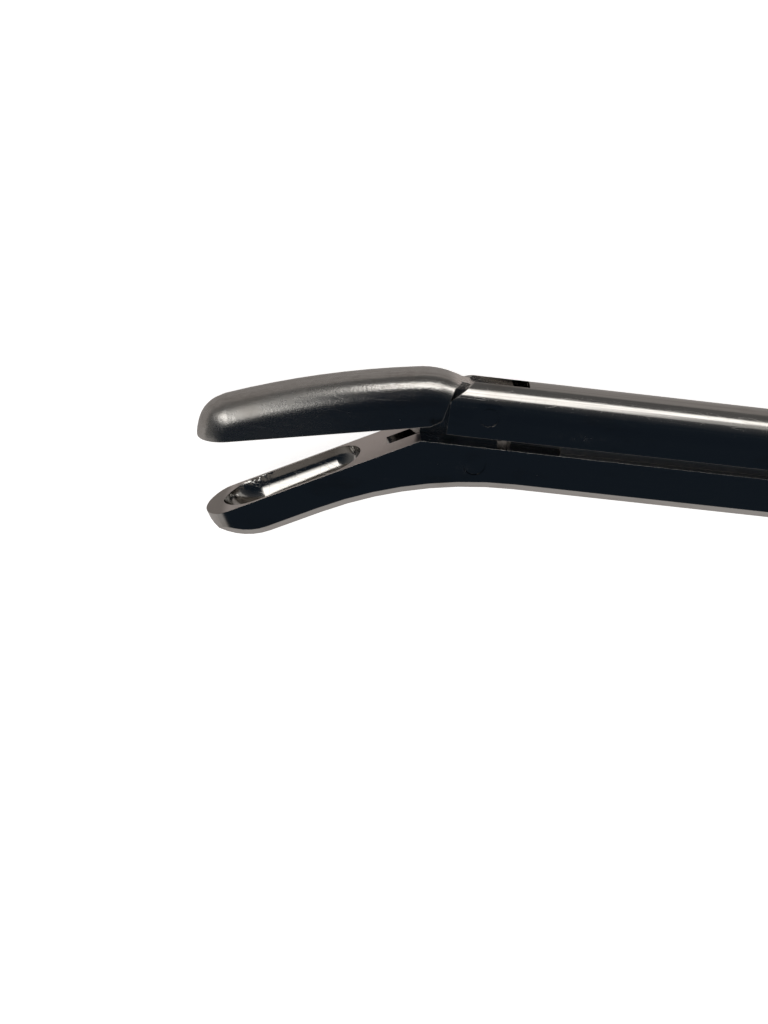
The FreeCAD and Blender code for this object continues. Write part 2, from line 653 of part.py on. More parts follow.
def build_upper_jaw():
    """The hinged jaw, drawn closed: cupped jaw, thin tang below it and tongue behind it."""
    body = new_body("upper_jaw")
    nose_start = f"({S.jaw_length} - {S.jaw_nose_length})"
    nose_top = arc_height(nose_start)
    reach_x = f"(({nose_start} - {S.jaw_back_peak}) / {S.jaw_back_radius})"
    reach_y = f"(({nose_top} - {S.jaw_back_height} + {S.jaw_back_radius}) / {S.jaw_back_radius})"
    chord = f"({nose_top} - {S.nose_land})"
    radius = f"(({S.jaw_nose_length}^2 + {chord}^2) / (2 * ({chord} * {reach_y} - {S.jaw_nose_length} * {reach_x})))"
    centre = (f"({nose_start} - {radius} * {reach_x})", f"({nose_top} - {radius} * {reach_y})")
    first = f"atan2({nose_top} - {centre[1]}; {nose_start} - {centre[0]})"
    last = f"atan2({S.nose_land} - {centre[1]}; {S.jaw_length} - {centre[0]})"
    middle = f"(({first} + {last}) / 2)"
    nose_via = along_jaw(f"({centre[0]} + {radius} * cos({middle}))", f"({centre[1]} + {radius} * sin({middle}))")

    heel_x = f"({S.slide_front} - {STROKE} - {S.heel_clearance})"
    lip = (f"({heel_x} + {S.heel_lip})", f"({SLIDE_CROWN} - {S.heel_drop})")
    bevel_start = f"({SLIDE_CROWN} - {S.slide_bevel_height})"
    back_via = along_jaw(f"(-{S.jaw_back_start} * 1.25)", f"({S.jaw_back_height} - 0.24)")
    crown_mid = f"(({nose_start} + {S.jaw_back_start}) / 2)"
    profile = sketch_on(body, "jaw_profile")
    draw_outline(profile, [
        along_jaw("0", S.bite_gap),
        along_jaw(S.jaw_length, S.bite_gap),
        along_jaw(S.jaw_length, S.nose_land),
        (*along_jaw(nose_start, nose_top), *nose_via),
        (*along_jaw(S.jaw_back_start, arc_height(S.jaw_back_start)), *along_jaw(crown_mid, arc_height(crown_mid))),
        (*lip, *back_via),
        (f"({heel_x} - 0.04)", f"({bevel_start} - {S.running_fit})"),
        (f"({heel_x} - 0.1)", f"({bevel_start} - 15 * {S.running_fit})"),
        (heel_x, SLIDE_FOOT),
    ])
    extrude(body, "jaw_block", profile, S.shaft_width)
    round_jaw_tip(body)

    half = value(HALF_WIDTH)
    turn = math.radians(value(S.jaw_angle))

    def is_crown(edge):
        ends = [v.Point for v in edge.Vertexes]
        heights = [p.y * math.cos(turn) - p.x * math.sin(turn) for p in ends]
        reaches = [-p.x * math.cos(turn) - p.y * math.sin(turn) for p in ends]
        curved = edge.Curve.TypeId != "Part::GeomLine"
        return curved and abs(middle_of(edge).z) > 0.05 and max(heights) > 2 and max(reaches) > -1
    round_edges(body, "jaw_crown_edges", f"({HALF_WIDTH} - {S.jaw_crown_flat})", is_crown)
    hollow_cup(body)

    front = along_jaw(S.tang_reach, S.bite_gap)
    front_touch, front_angle = tangent_point(front, S.tang_radius, 1)
    tongue_end = (f"({S.jaw_pivot_x} + {S.tongue_length})", f"({SLIDE_CROWN} - {S.tongue_drop})")
    rear_touch, rear_angle = tangent_point(tongue_end, S.tang_radius, -1)
    round_middle = f"(({front_angle} + {rear_angle} + 360 deg) / 2)"
    tang = sketch_on(body, "tang_profile")
    draw_outline(tang, [
        along_jaw(S.tang_reach, f"({S.nose_land} + {S.bite_gap})"),
        front,
        front_touch,
        (*rear_touch, *around_pivot(S.tang_radius, round_middle)),
        tongue_end,
        (f"({lip[0]} - 0.3)", f"({lip[1]} - {S.running_fit})"),
    ])
    extrude(body, "tang_and_tongue", tang, S.tang_thickness)
    drill(body, "jaw_pivot_hole", S.jaw_pivot_x, f"(-{S.jaw_pivot_depth})", f"({S.jaw_pin_diameter} + 2 * {S.running_fit})")
    cut_drive_slot(body)
    return body


def cut_drive_slot(body):
    """The hole for the drive pin, a little long towards the pivot, because the pin runs straight."""
    lean = f"({S.jaw_opening} * 0.5 deg)"
    radius = f"({S.drive_pin_diameter} / 2 + {S.running_fit})"

    def spot(along, across):
        x = f"({S.jaw_pivot_x} - ({along}) * sin({lean}) - ({across}) * cos({lean}))"
        y = f"(-{S.jaw_pivot_depth} + ({along}) * cos({lean}) - ({across}) * sin({lean}))"
        return x, y

    near = f"({JAW_ARM})"
    far = f"({JAW_ARM} / cos({lean}))"
    sketch = sketch_on(body, "drive_slot_sketch")
    draw_outline(sketch, [
        spot(near, radius),
        (*spot(near, f"(-{radius})"), *spot(f"({near} - {radius})", "0")),
        spot(far, f"(-{radius})"),
        (*spot(far, radius), *spot(f"({far} + {radius})", "0")),
    ])
    extrude(body, "drive_slot", sketch, THROUGH, cuts=True)


def pivot_circle(radius, angle):
    """A point at an angle in degrees round the handles' pivot."""
    return f"({PIVOT_X} + {radius} * cos({angle}))", f"({PIVOT_Y} + {radius} * sin({angle}))"


def on_blade(along, across):
    """A point of the front handle's blade at rest, measured from the pivot."""
    x = f"({PIVOT_X} + ({along}) * sin({HALF_SQUEEZE}) + ({across}) * cos({HALF_SQUEEZE}))"
    y = f"({PIVOT_Y} + ({along}) * cos({HALF_SQUEEZE}) - ({across}) * sin({HALF_SQUEEZE}))"
    return x, y


REAR_SEAT = f"({PIVOT_X} + {S.rear_seat})"
FRONT_SEAT = f"({PIVOT_X} - {S.front_seat})"
GRIP_END = f"(-{S.grip_length})"
SEAT_TOP = f"(-{S.spring_foot_high} + {S.boss_radius} * 0.7)"


def bow(seat, side, end):
    """The middle of an arc that leaves a vertical seat tangentially at its top and meets end."""
    reach = f"(({end[0]} - {seat}) * {side})"
    rise = f"({end[1]} - {SEAT_TOP})"
    radius = f"(({reach}^2 + {rise}^2) / (2 * {reach}))"
    x = f"({seat} + {side} * ({radius} - sqrt({radius}^2 - ({rise} / 2)^2)))"
    return x, f"({SEAT_TOP} + {rise} / 2)"


def grip_back(seat, side, lean, top):
    """Where the grip's round end meets its back, an arc up to top, and a point on each of them."""
    radius = f"({S.grip_end} / 2)"
    end_x = f"({seat} + {side} * {radius})"
    lean = f"({lean} * 1 deg)"
    joint = (f"({end_x} + {side} * {radius} * cos({lean}))", f"({GRIP_END} - {radius} * sin({lean}))")
    dx = f"({side} * ({joint[0]} - {top[0]}))"
    dy = f"({top[1]} - {joint[1]})"
    back = f"(({dx}^2 + {dy}^2) / (2 * ({dy} * sin({lean}) + {dx} * cos({lean}))))"
    centre = (f"({joint[0]} - {side} * {back} * cos({lean}))", f"({joint[1]} + {back} * sin({lean}))")
    turned = f"(atan2({top[1]} - {centre[1]}; {side} * ({top[0]} - {centre[0]})) / 2 - {lean} / 2)"
    back_via = (f"({centre[0]} + {side} * {back} * cos({turned}))", f"({centre[1]} + {back} * sin({turned}))")
    end_via = (end_x, f"({GRIP_END} - {radius})")
    return joint, back_via, end_via


def build_rear_handle():
    """The fixed handle: a block that holds the lower bar, with the pivot's boss, and the grip."""
    body = new_body("rear_handle")
    hump = f"({S.slide_rear} + 8 * {S.running_fit})"
    shoulder_x = f"({hump} + 2 * {S.grip_edge})"
    shoulder_y = f"({SLIDE_CROWN} - {S.shoulder_radius})"

    def on_shoulder(angle):
        x = f"({shoulder_x} + {S.shoulder_radius} * cos({angle}))"
        return x, f"({shoulder_y} + {S.shoulder_radius} * sin({angle}))"

    turn = f"({S.shoulder_turn} * 1 deg)"
    joint, back_via, end_via = grip_back(REAR_SEAT, "1", S.rear_lean, on_shoulder(turn))
    knee = (f"({REAR_SEAT} - 6)", f"({PIVOT_Y} - 12.8)")
    throat = (f"({PIVOT_X} + 12.5)", f"({PIVOT_Y} - 4.6)")
    throat_via = (f"({knee[0]} - 4)", f"({knee[1]} + 6)")
    front_y = f"(-{S.lower_height} - {S.block_floor})"
    dx = f"({S.block_front} - {PIVOT_X})"
    dy = f"({front_y} - {PIVOT_Y})"
    touch = f"(atan2({dy}; {dx}) + acos({S.boss_radius} / sqrt({dx}^2 + {dy}^2)) + 0 deg)"
    boss_rear = "310 deg"
    outline = sketch_on(body, "rear_outline")
    draw_outline(outline, [
        (S.block_front, S.block_wall_height),
        (hump, S.block_wall_height),
        (hump, SLIDE_CROWN),
        (shoulder_x, SLIDE_CROWN),
        (*on_shoulder(turn), *on_shoulder(f"((90 deg + {turn}) / 2)")),
        (*joint, *back_via),
        (REAR_SEAT, GRIP_END, *end_via),
        (REAR_SEAT, SEAT_TOP),
        (*knee, *bow(REAR_SEAT, "-1", knee)),
        (*throat, *throat_via),
        pivot_circle(S.boss_radius, boss_rear),
        (*pivot_circle(S.boss_radius, touch), *pivot_circle(S.boss_radius, f"(({boss_rear} + {touch}) / 2)")),
        (S.block_front, front_y),
    ])
    extrude(body, "rear_forging", outline, S.handle_width)

    side = value(S.handle_width) / 2
    front = value(S.block_front)
    step = value(hump)

    def is_edge(edge):
        spot = middle_of(edge)
        ends = [v.Point for v in edge.Vertexes]
        front_post = abs(spot.x - front) < 0.01
        top_wall = all(abs(p.y - value(S.block_wall_height)) < 0.01 for p in ends)
        hump_post = all(abs(p.x - step) < 0.01 for p in ends)
        return near_width(edge, side) and not (front_post or top_wall or hump_post)
    break_edges(body, "rear_edges", S.grip_edge, is_edge)

    for sign in ("", "-"):
        taper = sketch_on(body, f"block_taper_{'left' if sign else 'right'}", "XZ_Plane")
        draw_outline(taper, [
            (S.block_front, f"({sign}({HALF_WIDTH} + {S.block_floor}))"),
            (f"({S.block_front} + {S.block_taper})", f"({sign}{BLOCK_SIDE})"),
            (f"({S.block_front} + {S.block_taper})", f"({sign}{S.handle_width})"),
            (f"({S.block_front} - 1)", f"({sign}{S.handle_width})"),
            (f"({S.block_front} - 1)", f"({sign}({HALF_WIDTH} + {S.block_floor}))"),
        ])
        extrude(body, f"{taper.Name}_cut", taper, f"4 * ({S.lower_height} + {SLIDE_CROWN})", cuts=True)
    channel = sketch_on(body, "shaft_channel_sketch")
    draw_box(channel, f"({S.block_front} - 1)", f"(-{S.lower_height} - {S.pin_fit})",
             f"({S.lower_rear} + {S.pin_fit})", f"({S.block_wall_height} + 1)")
    extrude(body, "shaft_channel", channel, f"{S.shaft_width} + 2 * {S.pin_fit}", cuts=True)
    slot = sketch_on(body, "block_slot_sketch")
    draw_box(slot, f"({PIVOT_X} - 1.3 * {S.block_slot})", f"({PIVOT_Y} - 2 * {S.boss_radius})",
             f"({PIVOT_X} + 1.5 * {S.block_slot})", f"(-{S.lower_height})")
    extrude(body, "block_slot", slot, S.block_slot, cuts=True)
    drill(body, "pivot_hole", PIVOT_X, PIVOT_Y, f"({S.pivot_shank} + 2 * {S.pin_fit})")
    seat_head(body, "pivot_head_seat", PIVOT_X, PIVOT_Y, S.pivot_head, BLOCK_SIDE, S.pivot_head_height)
    seat_head(body, "pivot_nut_seat", PIVOT_X, PIVOT_Y, S.pivot_nut, BLOCK_SIDE, S.pivot_nut_height, below=True)
    for number, station in enumerate(RIVET_STATIONS, 1):
        drill(body, f"rivet_hole_{number}", station, f"(-{S.rivet_depth})", f"({S.rivet_diameter} + 2 * {S.pin_fit})")
    bore_spring_holes(body, REAR_SEAT, True)
    return body


BLOCK_SIDE = f"({S.handle_width} / 2)"
SCREW_Y = f"(-{S.spring_screw_place})"
PEG_Y = f"(-{S.spring_peg_place})"


def bore_spring_holes(body, seat, towards_rear):
    """Blind holes in a grip's seat for the spring's screw and its peg."""
    fits = (
        ("screw", SCREW_Y, S.spring_screw_shank, S.spring_screw_depth),
        ("peg", PEG_Y, S.spring_peg_diameter, S.spring_peg_depth),
    )
    for name, y, diameter, depth in fits:
        sketch = section_sketch(body, f"spring_{name}_bore_sketch", seat)
        draw_circle(sketch, y, "0", f"({diameter} + 2 * {S.pin_fit})")
        extrude(body, f"spring_{name}_bore", sketch, f"({depth} + 2 * {S.running_fit})", cuts=True,
                symmetric=False, reverse=towards_rear)


def build_front_handle():
    """The handle that is squeezed: grip, hub in the block's slot, and the blade above it."""
    body = new_body("front_handle")
    grip = f"({S.boss_radius} + {S.boss_gap})"
    inside = f"({grip} * 0.75)"
    top_front = pivot_circle(inside, "245 deg")
    top_rear = pivot_circle(inside, "298 deg")
    joint, back_via, end_via = grip_back(FRONT_SEAT, "-1", S.front_lean, top_front)
    outline = sketch_on(body, "front_outline")
    draw_outline(outline, [
        top_rear,
        (FRONT_SEAT, SEAT_TOP, *bow(FRONT_SEAT, "1", top_rear)),
        (FRONT_SEAT, GRIP_END),
        (*joint, *end_via),
        (*top_front, *back_via),
    ])
    extrude(body, "front_forging", outline, S.handle_width)
    side = value(S.handle_width) / 2
    top_y = max(value(top_front[1]), value(top_rear[1]))

    def is_edge(edge):
        return near_width(edge, side) and middle_of(edge).y < top_y - 1
    break_edges(body, "front_edges", S.grip_edge, is_edge)
    relief = sketch_on(body, "boss_relief_sketch")
    draw_circle(relief, PIVOT_X, PIVOT_Y, f"(2 * {grip})")
    extrude(body, "boss_relief", relief, THROUGH, cuts=True)

    hub = sketch_on(body, "hub_outline")
    hub_top = f"({S.pivot_depth} - {S.lower_height} - 0.4)"
    hub_bottom = f"(-{grip} - {S.boss_gap})"
    draw_outline(hub, [
        on_blade(hub_top, "-2.8"),
        on_blade(hub_bottom, "-2.2"),
        on_blade(hub_bottom, "2.0"),
        on_blade(hub_top, "2.8"),
    ])
    extrude(body, "hub", hub, f"{S.block_slot} - 2 * {S.running_fit}")
    blade = sketch_on(body, "blade_outline")
    eye = S.blade_eye_radius
    root = f"({eye} * 1.3)"
    neck = f"({HANDLE_ARM} - {eye})"
    draw_outline(blade, [
        on_blade("-1", f"(-{root})"),
        on_blade("-1", root),
        on_blade(neck, eye),
        on_blade(HANDLE_ARM, eye),
        (*on_blade(HANDLE_ARM, f"(-{eye})"), *on_blade(f"({HANDLE_ARM} + {eye})", "0")),
        on_blade(neck, f"(-{eye})"),
    ])
    extrude(body, "blade", blade, f"{S.blade_slot} - 2 * {S.running_fit}")
    drill(body, "hub_hole", PIVOT_X, PIVOT_Y, f"({S.pivot_shank} + 2 * {S.running_fit})")
    drill(body, "blade_eye", *on_blade(HANDLE_ARM, "0"), f"({S.drive_screw_shank} + 2 * {S.running_fit})")
    bore_spring_holes(body, FRONT_SEAT, False)
    return body


def build_spring(label, seat, side, forked):
    """A leaf that lies on a grip's seat at its foot and bows away from it to its tip."""
    body = new_body(label)
    face = f"({seat} + {side} * {S.pin_fit})"
    middle = f"(({REAR_SEAT} + {FRONT_SEAT}) / 2)"
    reach = f"(({middle} - {face}) * {side} + {S.spring_tip_past})"
    rise = f"({S.spring_foot_high} - {S.spring_tip_depth})"
    radius = f"(({reach}^2 + {rise}^2) / (2 * {reach}))"
    sweep = f"asin({rise} / {radius})"
    foot = f"(-{S.spring_foot_high})"
    inner = f"({radius} - {S.spring_thickness})"

    def on_bow(size, angle):
        x = f"({face} + {side} * ({radius} - {size} * cos({angle})))"
        return x, f"({foot} + {size} * sin({angle}))"

    back = f"({face} + {side} * {S.spring_thickness})"
    outline = sketch_on(body, f"{label}_outline")
    draw_outline(outline, [
        (face, f"(-{S.spring_foot_low})"),
        (face, foot),
        (*on_bow(radius, sweep), *on_bow(radius, f"({sweep} / 2)")),
        on_bow(inner, sweep),
        (back, foot, *on_bow(inner, f"({sweep} / 2)")),
        (back, f"(-{S.spring_foot_low})"),
    ])
    extrude(body, f"{label}_leaf", outline, S.spring_width)

    tip = f"(-{S.spring_tip_depth})"
    beyond = f"({tip} + 2 * {S.spring_thickness})"
    wide = S.spring_width
    for sign in ("", "-"):
        taper = sketch_on(body, f"{label}_taper_{'left' if sign else 'right'}", "YZ_Plane")
        draw_outline(taper, [
            (foot, f"({sign}{wide} / 2)"),
            (beyond, f"({sign}{S.spring_tip_width} / 2)"),
            (beyond, f"({sign}{wide})"),
            (foot, f"({sign}{wide})"),
        ])
        extrude(body, f"{taper.Name}_cut", taper, f"({REAR_SEAT} * 3)", cuts=True)
    fork_start = f"({tip} - {S.spring_fork_depth})"
    if forked:
        fork = sketch_on(body, f"{label}_fork", "YZ_Plane")
        draw_box(fork, fork_start, f"(-{S.spring_fork_gap} / 2)", beyond, f"({S.spring_fork_gap} / 2)")
        extrude(body, f"{label}_fork_cut", fork, f"({REAR_SEAT} * 3)", cuts=True)
    else:
        for sign in ("", "-"):
            flank = sketch_on(body, f"{label}_flank_{'left' if sign else 'right'}", "YZ_Plane")
            draw_box(flank, fork_start, f"({sign}{S.spring_tongue_width} / 2)", beyond, f"({sign}{wide})")
            extrude(body, f"{flank.Name}_cut", flank, f"({REAR_SEAT} * 3)", cuts=True)
    for name, y, diameter in (("screw", SCREW_Y, S.spring_screw_shank), ("peg", PEG_Y, S.spring_peg_diameter)):
        hole = section_sketch(body, f"{label}_{name}_hole_sketch", face)
        draw_circle(hole, y, "0", f"({diameter} + 2 * {S.pin_fit})")
        extrude(body, f"{label}_{name}_hole", hole, f"4 * {S.spring_thickness}", cuts=True)
    return body


def build_pivot_nut():
    """A round nut with a driver slot, flush in the block's far side."""
    body = new_body("handle_pivot_nut")
    ring = sketch_on(body, "nut_ring")
    draw_circle(ring, "0", "0", S.pivot_nut)
    draw_circle(ring, "0", "0", f"({S.pivot_shank} + 2 * {S.pin_fit})")
    extrude(body, "nut_blank", ring, S.pivot_nut_height, symmetric=False)
    slot = sketch_on(body, "nut_slot_sketch", "XZ_Plane")
    draw_box(slot, f"(-{S.pivot_nut_height} / 4)", "-1", f"({S.pivot_nut_height} / 4)", f"({S.pivot_nut_height} / 3)")
    extrude(body, "nut_slot", slot, f"{S.pivot_nut} * 2", cuts=True)
    return body


def build_rivets():
    """The two flush rivets, one node of two solids."""
    pins = []
    for number, station in enumerate(RIVET_STATIONS, 1):
        pin = DOC.addObject("Part::Cylinder", f"shaft_rivet_{number}")
        pin.setExpression("Radius", f"{S.rivet_diameter} / 2")
        pin.setExpression("Height", f"{S.handle_width} - 2 * {S.running_fit}")
        pin.setExpression("Placement.Base.x", f"{station} * 1 mm")
        pin.setExpression("Placement.Base.y", f"-{S.rivet_depth} * 1 mm")
        pin.setExpression("Placement.Base.z", f"({S.running_fit} - {BLOCK_SIDE}) * 1 mm")
        pins.append(pin)
    group = DOC.addObject("Part::Compound", "shaft_rivets")
    group.Label = "shaft_rivets"
    group.Links = pins
    return group


def place(part, x, y, z, rotation=None):
    """Puts a part that was drawn about zero at its place in the drawing frame."""
    spot = VECTOR(value(x), value(y), value(z))
    part.Placement = FreeCAD.Placement(spot, rotation or FreeCAD.Rotation())
    return part


def build_fasteners():
    """Every pin, screw, nut, rivet and peg, at its place."""
    across_y = VECTOR(0, 1, 0)
    to_rear = FreeCAD.Rotation(across_y, 90)
    to_front = FreeCAD.Rotation(across_y, -90)
    pin_length = f"({S.shaft_width} - 2 * {S.running_fit})"
    parts = [
        place(turned_pin("jaw_pivot_pin", S.jaw_pin_diameter, pin_length, S.running_fit),
              S.jaw_pivot_x, f"(-{S.jaw_pivot_depth})", "0"),
        place(turned_pin("jaw_drive_pin", S.drive_pin_diameter, pin_length, S.running_fit),
              DRIVE_PIN_X, S.drive_height, "0"),
        build_rivets(),
    ]
    head_level = f"({BLOCK_SIDE} - {S.pivot_head_height} - 2 * {S.running_fit} + {S.pin_fit})"
    shank = f"({head_level} + {BLOCK_SIDE} - 2 * {S.running_fit})"
    parts.append(place(
        slotted_screw("handle_pivot_screw", S.pivot_shank, shank, S.pivot_head, S.pivot_head_height),
        PIVOT_X, PIVOT_Y, head_level))
    nut_level = f"(-{BLOCK_SIDE} + 2 * {S.running_fit} - {S.pin_fit})"
    parts.append(place(build_pivot_nut(), PIVOT_X, PIVOT_Y, nut_level))
    small_level = f"({HALF_WIDTH} - {S.drive_screw_head_height} - 2 * {S.running_fit} + {S.pin_fit})"
    small_shank = f"({small_level} + {HALF_WIDTH} - {S.running_fit})"
    parts.append(place(
        slotted_screw("slide_drive_screw", S.drive_screw_shank, small_shank, S.drive_screw_head,
                      S.drive_screw_head_height, "0.5"),
        DRIVE_SCREW_X, S.drive_height, small_level))
    leaf = f"({S.spring_thickness} + 2 * {S.pin_fit})"
    peg_length = f"({leaf} + {S.spring_peg_depth})"
    for label, seat, side, turn in (("rear", REAR_SEAT, "-1", to_front), ("front", FRONT_SEAT, "1", to_rear)):
        screw = slotted_screw(f"{label}_spring_screw", S.spring_screw_shank, f"({leaf} + {S.spring_screw_depth})",
                              S.spring_screw_head, S.spring_screw_head_height)
        parts.append(place(screw, f"({seat} + {side} * {leaf})", SCREW_Y, "0", turn))
        peg = turned_pin(f"{label}_spring_peg", S.spring_peg_diameter, peg_length)
        middle = f"({seat} + {side} * ({leaf} - {peg_length} / 2))"
        parts.append(place(peg, middle, PEG_Y, "0", turn))
    return parts


def open_jaw(jaw):
    """Swings the jaw from its closed place to the open one, in which the instrument rests."""
    pivot = VECTOR(value(S.jaw_pivot_x), -value(S.jaw_pivot_depth), 0)
    jaw.Placement = FreeCAD.Placement(VECTOR(0, 0, 0), FreeCAD.Rotation(UP, -value(S.jaw_opening)), pivot)
    return jaw


def stand_on_footprint(parts):
    """Moves every part so that the footprint's centre is the origin and the low side is at zero."""
    box = FreeCAD.BoundBox()
    for part in parts:
        box.add(part.Shape.BoundBox)
    shift = FreeCAD.Placement(VECTOR(-box.Center.x, -box.Center.y, -box.ZMin), FreeCAD.Rotation())
    for part in parts:
        part.Placement = shift.multiply(part.Placement)
    return shift.Base


def check_and_write(parts):
    """Recomputes, checks every object of the document, and writes one file for each part."""
    DOC.recompute()
    for item in DOC.Objects:
        if "Invalid" in item.State or "Error" in item.State:
            raise RuntimeError(f"{item.Name} is in error: {item.getStatusString()}")
    os.makedirs("parts", exist_ok=True)
    for part in parts:
        shape = part.Shape
        if shape.isNull() or not shape.isValid() or not shape.Solids:
            raise RuntimeError(f"{part.Label} has no valid solid")
        shape.exportStep(f"parts/{part.Label}.step")
        print(f"{part.Label}: {len(shape.Solids)} solid, {shape.Volume:.2f} cubic mm")


def report(shift):
    """Prints what the record needs: pivots and travels in the row's own frame."""
    pivot = (value(S.jaw_pivot_x) + shift.x, -value(S.jaw_pivot_depth) + shift.y, shift.z)
    print("shift", tuple(round(c, 4) for c in shift))
    print("jaw pivot", tuple(round(c, 4) for c in pivot), "opening", value(S.jaw_opening))
    handle = (value(PIVOT_X) + shift.x, value(PIVOT_Y) + shift.y, shift.z)
    print("handle pivot", tuple(round(c, 4) for c in handle), "squeeze", round(2 * value(HALF_SQUEEZE), 5))
    print("stroke", round(value(STROKE), 5))


LOWER_SHAFT = finish_lower_shaft(build_lower_shaft())
PARTS = [
    LOWER_SHAFT,
    build_upper_shaft(),
    open_jaw(build_upper_jaw()),
    build_rear_handle(),
    build_front_handle(),
    build_spring("rear_spring", REAR_SEAT, "-1", True),
    build_spring("front_spring", FRONT_SEAT, "1", False),
    *build_fasteners(),
]
DOC.recompute()
SHIFT = stand_on_footprint(PARTS)
check_and_write(PARTS)
report(SHIFT)
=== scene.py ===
# %% [markdown]
# # A rongeur with cupped jaws, dressed in steel
#
# A rongeur is a surgeon's nibbling forceps. This one is a long polished bar with a fixed cupped
# jaw, a second bar that slides on it, and a small hinged jaw that the sliding bar shuts when the
# handles are squeezed. Every piece of it is bare stainless steel, so nearly everything that the
# eye sees is a reflection. The work is therefore in two parts: give each piece the finish that
# its maker gave it, and then build the room that it mirrors.
#
# The shapes come from the construction model and are never moved. Blender adds finishes, the
# springs cut into short lengths, the light, and the camera.

import json
import math

import bmesh
import bpy
from mathutils import Matrix, Vector


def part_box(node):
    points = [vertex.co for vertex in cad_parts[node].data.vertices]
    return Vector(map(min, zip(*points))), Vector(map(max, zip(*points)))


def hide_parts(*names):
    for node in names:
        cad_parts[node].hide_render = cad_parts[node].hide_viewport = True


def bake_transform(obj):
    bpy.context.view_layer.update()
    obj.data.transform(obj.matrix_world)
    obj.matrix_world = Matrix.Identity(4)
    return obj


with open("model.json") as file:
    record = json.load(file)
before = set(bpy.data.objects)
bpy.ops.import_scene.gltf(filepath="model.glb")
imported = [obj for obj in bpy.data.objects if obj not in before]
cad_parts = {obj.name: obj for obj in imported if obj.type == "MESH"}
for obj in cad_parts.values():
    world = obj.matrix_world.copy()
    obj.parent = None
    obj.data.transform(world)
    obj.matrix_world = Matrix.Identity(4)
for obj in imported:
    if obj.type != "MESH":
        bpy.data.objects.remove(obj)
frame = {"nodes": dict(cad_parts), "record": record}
steelwork = frame["nodes"]
scene = bpy.context.scene
MM = 0.001
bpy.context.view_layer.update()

# %% [markdown]
# ## Writing shader maths as sums
#
# A finish is a small calculation: where on the piece am I, how worn is it there, how rough does
# that make it. Blender does such sums with Math nodes. They could be placed one by one, but a
# formula is far easier to read, so one small class stands for a wire between two nodes. Adding
# or multiplying wires adds the Math node that does it.

# %% A wire between two nodes
class Wire:
    """The output of a node. Arithmetic on it adds Math nodes to the same board."""

    def __init__(self, board, socket):
        self.board = board
        self.socket = socket

    def maths(self, operation, *terms):
        return self.board.node("ShaderNodeMath", {"operation": operation}, dict(enumerate(terms)))

    def __add__(self, other):
        return self.maths("ADD", self, other)

    def __radd__(self, other):
        return self.maths("ADD", other, self)

    def __sub__(self, other):
        return self.maths("SUBTRACT", self, other)

    def __rsub__(self, other):
        return self.maths("SUBTRACT", other, self)

    def __mul__(self, other):
        return self.maths("MULTIPLY", self, other)

    def __rmul__(self, other):
        return self.maths("MULTIPLY", other, self)

    def __abs__(self):
        return self.maths("ABSOLUTE", self)

    def root(self):
        return self.maths("SQRT", self)

    def rising(self, low, high):
        """0 where the value is at low, 1 at high, with a soft start and stop."""
        return self.board.node("ShaderNodeMapRange", {"interpolation_type": "SMOOTHSTEP"},
                               {"Value": self, "From Min": low, "From Max": high})

    def band(self, low, high, soft):
        """1 between low and high, fading to 0 over a soft edge."""
        return self.rising(low - soft, low + soft) * (1 - self.rising(high - soft, high + soft))


def total(wires):
    """The sum of some wires."""
    first, *others = wires
    return sum(others, first)


# %% A board to plug the wires into
class Board:
    """A node tree that is wired from Python."""

    def __init__(self, tree):
        self.tree = tree
        tree.nodes.clear()

    def node(self, kind, settings=(), sockets=(), out=0):
        """Adds a node: its settings first, then the values or wires of its sockets."""
        made = self.tree.nodes.new(kind)
        for name, value in dict(settings).items():
            setattr(made, name, value)
        for name, value in dict(sockets).items():
            if isinstance(value, Wire):
                self.tree.links.new(value.socket, made.inputs[name])
            else:
                made.inputs[name].default_value = value
        return Wire(self, made.outputs[out] if made.outputs else None)

    def ramp(self, value, stops):
        """A colour that follows a value through stops, each a place and a colour."""
        wire = self.node("ShaderNodeValToRGB", {}, {"Fac": value})
        elements = wire.socket.node.color_ramp.elements
        while len(elements) < len(stops):
            elements.new(1)
        for element, (place, colour) in zip(elements, stops):
            element.position, element.color = place, (*colour, 1)
        return wire

    def blend(self, share, first, second):
        """A colour between two others. On a Mix node the colours are sockets 6 and 7."""
        first, second = (c if isinstance(c, Wire) else (*c, 1) for c in (first, second))
        return self.node("ShaderNodeMix", {"data_type": "RGBA"},
                         {0: share, 6: first, 7: second}, 2)

    def lean(self, share, first, second):
        """A direction between two others. On a Mix node the vectors are sockets 4 and 5."""
        return self.node("ShaderNodeMix", {"data_type": "VECTOR"},
                         {0: share, 4: first, 5: second}, 1)


def new_finish(name):
    """An empty material and the board to wire it on."""
    material = bpy.data.materials.new(name)
    material.use_nodes = True
    return material, Board(material.node_tree)


# %% [markdown]
# ## Where am I on the piece?
#
# Every finish here is laid out in millimetres on the piece itself. Object coordinates stay with
# a piece when it moves, so the pattern doesn't slide when the jaw opens. A Mapping node of the
# texture kind then gives each part its own ruler: from a chosen corner, along a chosen line.

# %% Rulers
def ruler(board, corner=(0, 0, 0), turn=0.0):
    """Object coordinates in millimetres from a corner, with x along a line turned by an angle."""
    place = board.node("ShaderNodeTexCoord", out="Object")
    return board.node("ShaderNodeMapping", {"vector_type": "TEXTURE"},
                      {"Vector": place, "Location": corner, "Rotation": (0, 0, turn),
                       "Scale": (MM, MM, MM)})


def vector_maths(board, operation, first, second=(0, 0, 0), out="Vector"):
    return board.node("ShaderNodeVectorMath", {"operation": operation}, {0: first, 1: second}, out)


def stretched(board, where, scale):
    """The same ruler with each of its three directions scaled."""
    return vector_maths(board, "MULTIPLY", where, scale)


